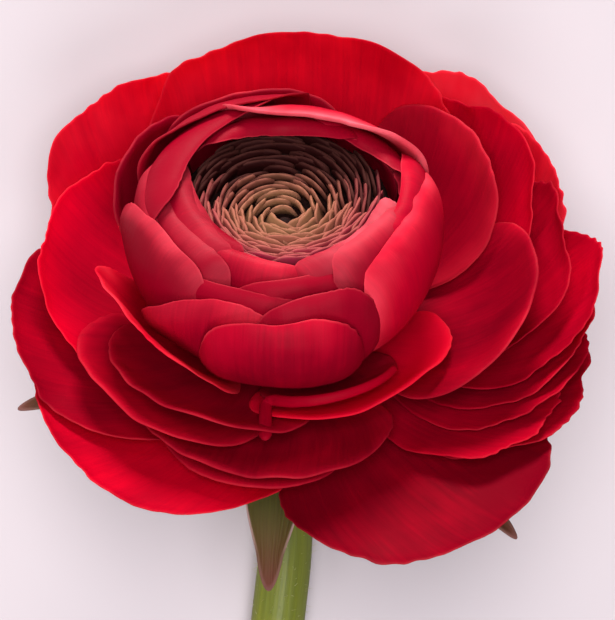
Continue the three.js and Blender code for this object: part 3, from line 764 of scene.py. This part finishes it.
class BUTTERCUP_OT_guard_petals(PetalOperator, bpy.types.Operator):
    """Makes the large outer petals, with ruffled and finely toothed rims"""
    bl_idname = "buttercup.guard_petals"
    bl_label = "Guard Petals"

    def execute(self, context):
        sizes = context.scene.buttercup_sizes
        style = {"columns": 72, "rows": 64, "thickness": sizes.thickness / MM, "rounding": 0.5,
                 "ruffle": sizes.ruffle / MM, "swell": 0.35, "tooth": sizes.tooth / MM,
                 "roll": 0.2, "roll_width": 2.0, "crease": 0.05, "translucence": 1.0,
                 "tone": 0.27, "bloom": 0.0, "streaks": 0.16, "painted_inner_shade": 0.0}
        return self.make_all(context, GUARD_PETALS, "fresh_petal_tissue_outer", "guard_petal",
                             GUARD_SEED, style)


class BUTTERCUP_OT_cup_petals(PetalOperator, bpy.types.Operator):
    """Makes the petals between the open ones and the closed ball"""
    bl_idname = "buttercup.cup_petals"
    bl_label = "Cup Petals"

    def execute(self, context):
        sizes = context.scene.buttercup_sizes
        style = {"columns": 56, "rows": 50, "thickness": 1.3 * sizes.thickness / MM,
                 "rounding": 0.4, "ruffle": 0.5 * sizes.ruffle / MM, "swell": 0.25,
                 "tooth": 0.3 * sizes.tooth / MM, "roll": -0.3, "roll_width": 1.2,
                 "crease": 0.05, "translucence": 0.9, "tone": 0.12, "bloom": 0.02,
                 "streaks": 0.13, "painted_inner_shade": 0.2}
        self.make_all(context, CUP_PETALS, "fresh_petal_tissue_cup", "cup_petal", CUP_SEED,
                      style)
        self.add_folded_rim(bpy.data.objects["cup_petal_leaf_front_3"])
        return {"FINISHED"}

    def add_folded_rim(self, petal):
        """A rolled band that runs along the petal's front and hangs down in a blunt tip."""
        bpy.ops.mesh.primitive_grid_add(x_subdivisions=12, y_subdivisions=90, size=2)
        band = just_added("folded_rim")
        place = vertex_places(band)
        across, along = place[:, 0], (place[:, 1] + 1) / 2
        turns = np.radians(np.linspace(FOLD_FROM, FOLD_TO, FOLD_POINTS))
        rim = petal_surface(CUP_PETALS["cup_petal_front_3"], np.sin(turns), np.cos(turns))
        hanging = rim[-1] + np.outer((0.25, 0.5, 0.75, 1.0), FOLD_HANG)
        line = np.concatenate([rim, hanging])
        half_widths = np.linspace(*FOLD_HALF_WIDTHS, len(line))
        table = np.concatenate([line, half_widths[:, None]], axis=1)
        knots = np.linspace(0, 1, len(table))
        smooth = lambda t: np.stack([np.interp(t, knots, column) for column in table.T], -1)
        middle = sum(smooth(np.clip(along + step, 0, 1))
                     for step in (-FOLD_SMOOTHING, 0, FOLD_SMOOTHING)) / 3
        ahead = smooth(np.clip(along + 0.05, 0, 1)) - smooth(np.clip(along - 0.05, 0, 1))
        way = unit(ahead[:, :3])
        towards = np.array([0.0, -math.sin(AXIS_TILT), math.cos(AXIS_TILT)])
        side = unit(np.cross(towards, way))
        out = np.cross(way, side)
        end = np.sqrt(np.clip((1 - along) / 0.06, 0, 1))
        width = 0.85 * middle[:, 3] * np.minimum(end + 0.05, 1)
        points = (middle[:, :3] + side * (across * width)[:, None]
                  + out * (0.55 * width * (1 - across**2))[:, None])
        set_vertices(band, laid_down(points))
        from_edge = (1 - np.abs(across)) * width
        keep(band, leaf=on_leaf(across, 12 * along, 5.0), rim=from_edge,
             tone=0.4 - 0.35 * along, bloom=np.zeros_like(along))
        thicken(band, 0.35 * MM, from_edge, 0.3)
        band.data.materials.append(petal.data.materials[0])
        make_active(band, petal)
        bpy.ops.object.join()


class BUTTERCUP_OT_ball_petals(PetalOperator, bpy.types.Operator):
    """Makes the plump petals that close over each other round the eye"""
    bl_idname = "buttercup.ball_petals"
    bl_label = "Ball Petals"

    def execute(self, context):
        sizes = context.scene.buttercup_sizes
        style = {"columns": 46, "rows": 54, "thickness": 2.0 * sizes.thickness / MM,
                 "rounding": 0.4, "ruffle": 0.15, "swell": 0.2, "tooth": 0.04,
                 "roll": 0.85, "roll_width": 2.6, "plump": 0.15, "crease": 0.07,
                 "translucence": 0.35, "tone": -0.1, "bloom": 0.01, "streaks": 0.14,
                 "painted_inner_shade": 0.28}
        return self.make_all(context, BALL_PETALS, "fresh_petal_tissue_ball", "ball_petal",
                             BALL_SEED, style)


class BUTTERCUP_OT_eye(bpy.types.Operator):
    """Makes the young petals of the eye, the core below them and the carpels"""
    bl_idname = "buttercup.eye"
    bl_label = "Eye"
    bl_options = {"REGISTER", "UNDO"}

    def young_petal(self, rng, share, azimuth, x, y):
        """One small petal: share is 0 at the eye's rim and 1 at the hole."""
        tip_radius = math.sqrt(EYE_HOLE**2 + (EYE_RIM[0]**2 - EYE_HOLE**2) * (1 - share))
        tip_radius += rng.uniform(-0.4, 0.4)
        bowl = EYE_FLOOR + (EYE_RIM[1] - EYE_FLOOR) * (tip_radius / EYE_RIM[0]) ** 1.5
        half_width = (5.2 - 2.8 * share) * rng.uniform(0.7, 1.2)
        up = (y + 1) / 2
        height = bowl + rng.uniform(-0.3, 0.3) - 5.0 * (1 - up) ** 1.1
        height = height + 0.1 * rng.normal() * x * up - 0.7 * x**4
        lean = (0.7 + 2.2 * share**2) * (1 - up) ** 1.2 + 0.45 * x * x
        skew = 0.6 + 0.2 * rng.normal()
        radius = tip_radius + lean + skew * x * up + 0.1 * wander(rng, 2.0 * x, 0.6, 1.6) * up
        angle = azimuth + half_width * x * (0.6 + 0.4 * up) / max(tip_radius, 1.8)
        return round_axis(radius, angle, height), half_width

    def execute(self, context):
        sizes = context.scene.buttercup_sizes
        colours = context.scene.buttercup_colours
        rng = np.random.default_rng(EYE_SEED)
        pieces = []
        pattern, x, y = new_grid("young_petal", 12, 7, 1.3, 0.6)
        for number in range(sizes.eye_petals):
            share = (number + 0.5) / sizes.eye_petals
            azimuth = number * math.radians(GOLDEN_ANGLE) + rng.uniform(-0.15, 0.15)
            make_active(pattern)
            bpy.ops.object.duplicate()
            obj = bpy.context.active_object
            place, half_width = self.young_petal(rng, share, azimuth, x, y)
            set_vertices(obj, laid_down(place))
            out = np.minimum((np.abs(x) ** 3 + np.abs(y) ** 3) ** (1 / 3), 1)
            from_rim = (1 - out) * half_width
            tone = share**1.4 + rng.uniform(-0.12, 0.12)
            # Painted shade: dark on the far side under the back of the ball, and low in each young
            # petal where its neighbours shade it.
            shaded = 2.6 * (1 - share) * max(math.sin(azimuth) + 0.35, 0) + rng.uniform(0, 0.25)
            keep(obj, leaf=on_leaf(x * half_width, y * 2, number * 7.7), rim=from_rim,
                 tone=np.full_like(x, tone), bloom=np.clip(shaded + 0.9 * (0.7 - y), 0, 1))
            thicken(obj, sizes.eye_petal, from_rim, 0.3)
            pieces.append(obj)
        bpy.data.objects.remove(pattern)
        make_active(*pieces[1:], pieces[0])
        bpy.ops.object.join()
        eye = just_added("eye_petals")
        finish_piece(eye, young_tissue(colours), "heart", "heart")
        self.make_core(colours)
        return {"FINISHED"}

    def make_core(self, colours):
        """A ball dished at its top, which closes the flower below the eye, with a carpel knob."""
        bpy.ops.mesh.primitive_uv_sphere_add(segments=48, ring_count=32, radius=1)
        core = just_added("ball_core")
        ball = vertex_places(core)
        fall = np.arccos(np.clip(ball[:, 2], -1, 1)) / math.pi
        turn = np.arctan2(ball[:, 1], ball[:, 0])
        dish = np.clip(fall / DISH_SHARE, 0, 1)
        side = np.clip((fall - DISH_SHARE) / (1 - DISH_SHARE), 0, 1)
        side_radius, side_height = on_layer(HEART_LAYER - 0.2, 0.0,
                                            HEART_RIM_ALONG * (1 - side) + 0.5 * side)
        dished = EYE_FLOOR - DISH_DEPTH + (EYE_RIM[1] - EYE_FLOOR - 0.6) * dish**2
        knob = KNOB_HEIGHT * np.exp(-(dish * 9 / 1.1) ** 2)
        radius = np.where(fall < DISH_SHARE, dish * DISH_RADIUS, side_radius) * (side <= 0.999)
        height = np.where(fall < DISH_SHARE, dished + knob,
                          np.minimum(side_height, EYE_RIM[1] - 2.0))
        set_vertices(core, laid_down(round_axis(radius, turn, height)))
        make_active(core)
        bpy.ops.object.shade_smooth()
        finish_piece(core, core_tissue(colours), "heart", "heart")


class BUTTERCUP_OT_sepals(bpy.types.Operator):
    """Makes the five sepals under the petals"""
    bl_idname = "buttercup.sepals"
    bl_label = "Sepals"
    bl_options = {"REGISTER", "UNDO"}

    def execute(self, context):
        sizes = context.scene.buttercup_sizes
        material = leaf_tissue(context.scene.buttercup_colours)
        for number, (name, (azimuth, length, half_width, droop)) in enumerate(SEPALS.items()):
            rng = np.random.default_rng(SEPAL_SEED + number)
            row = (SEPAL_LAYER, azimuth, length, half_width, {"droop": droop, "corner": 0.0})
            obj, x, y = new_grid(name + "_leaf", 18, 40)
            up = (y + 1) / 2
            narrowed = x * (1 - 0.5 * np.clip(up / 0.85, 0, 1) ** 2.5)
            surface = lambda a, b: petal_surface(row, a, b)
            place = surface(narrowed, y)
            normal = outward(surface, narrowed, y)
            fold = (0.6 + 1.6 * up**3) * (1 - x * x) * up
            curled = 0.5 * wander(rng, 3 * up, 0.8, 2.2) * up**2
            place = place + normal * (fold + curled)[:, None]
            set_vertices(obj, laid_down(place))
            from_rim = (1 - np.hypot(x, y)) * half_width
            keep(obj, leaf=on_leaf(x * half_width, length * up, number * 9.0), rim=from_rim,
                 tone=np.clip((up - 0.6) / 0.4, 0, 1) ** 1.5)
            thicken(obj, 1.6 * sizes.thickness, from_rim, 0.4)
            finish_piece(obj, material, "sepal", name)
        return {"FINISHED"}


class BUTTERCUP_OT_stem(bpy.types.Operator):
    """Makes the stem with the receptacle at its top, and its fine hairs"""
    bl_idname = "buttercup.stem"
    bl_label = "Stem"
    bl_options = {"REGISTER", "UNDO"}

    def execute(self, context):
        sizes = context.scene.buttercup_sizes
        colours = context.scene.buttercup_colours
        bpy.ops.mesh.primitive_cylinder_add(vertices=40, radius=1, depth=2, end_fill_type="TRIFAN")
        stem = just_added("green_stem")
        make_active(stem)
        bpy.ops.object.mode_set(mode="EDIT")
        bpy.ops.mesh.select_mode(type="EDGE")
        bpy.ops.mesh.select_all(action="DESELECT")
        bpy.ops.object.mode_set(mode="OBJECT")
        mesh = stem.data
        for edge in mesh.edges:
            a, b = (mesh.vertices[k].co for k in edge.vertices)
            edge.select = abs(a.z - b.z) > 1
        bpy.ops.object.mode_set(mode="EDIT")
        bpy.ops.mesh.subdivide(number_cuts=STEM_CUTS)
        bpy.ops.object.mode_set(mode="OBJECT")
        place = vertex_places(stem)
        share = (1 - place[:, 2]) / 2
        distance = STEM_DISTANCES[0] + (STEM_LENGTH - STEM_DISTANCES[0]) * share**1.25
        turn = np.arctan2(place[:, 1], place[:, 0])
        around = np.hypot(place[:, 0], place[:, 1])
        radius = np.interp(distance, STEM_DISTANCES, STEM_RADII) * np.where(around > 0.5, 1, 0)
        rng = np.random.default_rng(STEM_SEED)
        ribs = 0.07 * wander(rng, turn, 5, 5) + 0.04 * wander(rng, turn, 9, 9)
        slow = 0.05 * wander(rng, distance / 12, 0.5, 2)
        radius = radius * (1 + 0.3 * (ribs + slow) * (distance > 6))
        keep(stem, straight=rings_on_path(stem, distance, turn, radius))
        make_active(stem)
        bpy.ops.object.shade_smooth_by_angle(angle=math.radians(50))
        finish_piece(stem, stem_skin(colours), "stem", "stem")
        self.make_hairs(sizes, colours)
        return {"FINISHED"}

    def make_hairs(self, sizes, colours):
        """One hair is a thin three-sided cone. Each copy stands on the stem, leaning at random."""
        rng = np.random.default_rng(HAIR_SEED)
        bpy.ops.mesh.primitive_cone_add(vertices=3, radius1=1, radius2=0, depth=1,
                                        end_fill_type="TRIFAN")
        hairs = just_added("stem_hairs")
        cone = vertex_places(hairs)
        cone[:, 2] += 0.5
        distance = rng.uniform(7.0, STEM_LENGTH - 1, sizes.hairs)
        turn = rng.uniform(0, 2 * math.pi, sizes.hairs)
        length = sizes.hair_length / MM * rng.uniform(0.5, 1.3, sizes.hairs)
        centre, way, over, side = stem_frame(distance)
        spoke = side * np.cos(turn)[:, None] + over * np.sin(turn)[:, None]
        foot = centre + spoke * (np.interp(distance, STEM_DISTANCES, STEM_RADII) - 0.15)[:, None]
        lean = spoke + way * rng.uniform(-0.7, 0.5, (sizes.hairs, 1))
        lean = unit(lean + rng.normal(0, 0.25, lean.shape))
        first = unit(np.cross(lean, way))
        second = np.cross(lean, first)
        section = first[:, None] * cone[None, :, :1] + second[:, None] * cone[None, :, 1:2]
        points = (foot[:, None] + HAIR_RADIUS * section
                  + lean[:, None] * cone[None, :, 2:] * length[:, None, None])
        high = foot[:, 2] + length + HEAD[2] > 0
        floor_clear = (points[:, :, 2].min(axis=1) + HEAD[2]) > 0.02
        points = points[high & floor_clear]
        make_active(hairs)
        bpy.ops.object.mode_set(mode="EDIT")
        bpy.ops.mesh.select_all(action="SELECT")
        while len(hairs.data.vertices) < len(cone) * len(points):
            bpy.ops.mesh.select_all(action="SELECT")
            bpy.ops.mesh.duplicate()
            hairs.update_from_editmode()
        bpy.ops.mesh.select_all(action="DESELECT")
        bpy.ops.object.mode_set(mode="OBJECT")
        for vertex in hairs.data.vertices[len(cone) * len(points):]:
            vertex.select = True
        bpy.ops.object.mode_set(mode="EDIT")
        bpy.ops.mesh.delete(type="VERT")
        bpy.ops.object.mode_set(mode="OBJECT")
        set_vertices(hairs, (points.reshape(-1, 3) + HEAD) * MM)
        finish_piece(hairs, hair_fibre(colours), "stem")


class BUTTERCUP_OT_stage(bpy.types.Operator):
    """Makes the floor, the soft lights and the camera that looks down on the flower"""
    bl_idname = "buttercup.stage"
    bl_label = "Stage"
    bl_options = {"REGISTER", "UNDO"}

    def light(self, name, offset, size, power, colour):
        bpy.ops.object.light_add(type="AREA", location=HEAD * MM + np.array(offset))
        lamp = just_added(name)
        lamp.data.shape = "DISK"
        lamp.data.size = size
        lamp.data.energy = power
        lamp.data.color = to_linear(colour)
        aim = Vector((HEAD * MM).tolist()) - lamp.location
        lamp.rotation_euler = aim.to_track_quat("-Z", "Y").to_euler()

    def execute(self, context):
        sizes = context.scene.buttercup_sizes
        colours = context.scene.buttercup_colours
        scene = context.scene
        bpy.ops.mesh.primitive_plane_add(size=6, location=(0, 0, -FLOOR_GAP * MM))
        floor = just_added("studio_floor")
        floor.data.materials.append(floor_paper(colours))
        for name, light in LIGHTS.items():
            self.light(name, *light)
        world = bpy.data.worlds.new("studio_air")
        world.use_nodes = True
        scene.world = world
        background = world.node_tree.nodes["Background"]
        background.inputs["Color"].default_value = (*to_linear("#f4eef2"), 1)
        background.inputs["Strength"].default_value = AIR_BRIGHTNESS
        above = np.array([CAMERA_ASIDE[0] * MM, CAMERA_ASIDE[1] * MM, sizes.camera_height])
        bpy.ops.object.camera_add(location=HEAD * MM + above, rotation=(0, 0, 0))
        camera = just_added("studio_camera")
        camera.data.lens = camera.data.sensor_width * sizes.camera_height / sizes.view_height
        camera.data.clip_start = 0.01
        scene.camera = camera
        scene.view_settings.view_transform = "Standard"
        return {"FINISHED"}


class BUTTERCUP_PT_panel(bpy.types.Panel):
    """Lists the pieces of the flower, with its sizes and colours"""
    bl_idname = "BUTTERCUP_PT_panel"
    bl_label = "Persian Buttercup"
    bl_space_type = "VIEW_3D"
    bl_region_type = "UI"
    bl_category = "Buttercup"

    def draw(self, context):
        for operator in OPERATORS:
            self.layout.operator(operator.bl_idname)
        for group in (context.scene.buttercup_sizes, context.scene.buttercup_colours):
            box = self.layout.box()
            for key in group.__annotations__:
                box.prop(group, key)


OPERATORS = (BUTTERCUP_OT_guard_petals, BUTTERCUP_OT_cup_petals, BUTTERCUP_OT_ball_petals,
             BUTTERCUP_OT_eye, BUTTERCUP_OT_sepals, BUTTERCUP_OT_stem, BUTTERCUP_OT_stage)
CLASSES = (ButtercupColours, ButtercupSizes, *OPERATORS, BUTTERCUP_PT_panel)


def register():
    for each in CLASSES:
        bpy.utils.register_class(each)
    bpy.types.Scene.buttercup_colours = bpy.props.PointerProperty(type=ButtercupColours)
    bpy.types.Scene.buttercup_sizes = bpy.props.PointerProperty(type=ButtercupSizes)


def unregister():
    del bpy.types.Scene.buttercup_sizes
    del bpy.types.Scene.buttercup_colours
    for each in reversed(CLASSES):
        bpy.utils.unregister_class(each)


def main():
    register()
    bpy.ops.buttercup.guard_petals()
    bpy.ops.buttercup.cup_petals()
    bpy.ops.buttercup.ball_petals()
    bpy.ops.buttercup.eye()
    bpy.ops.buttercup.sepals()
    bpy.ops.buttercup.stem()
    bpy.ops.buttercup.stage()


if __name__ == "__main__":
    main()
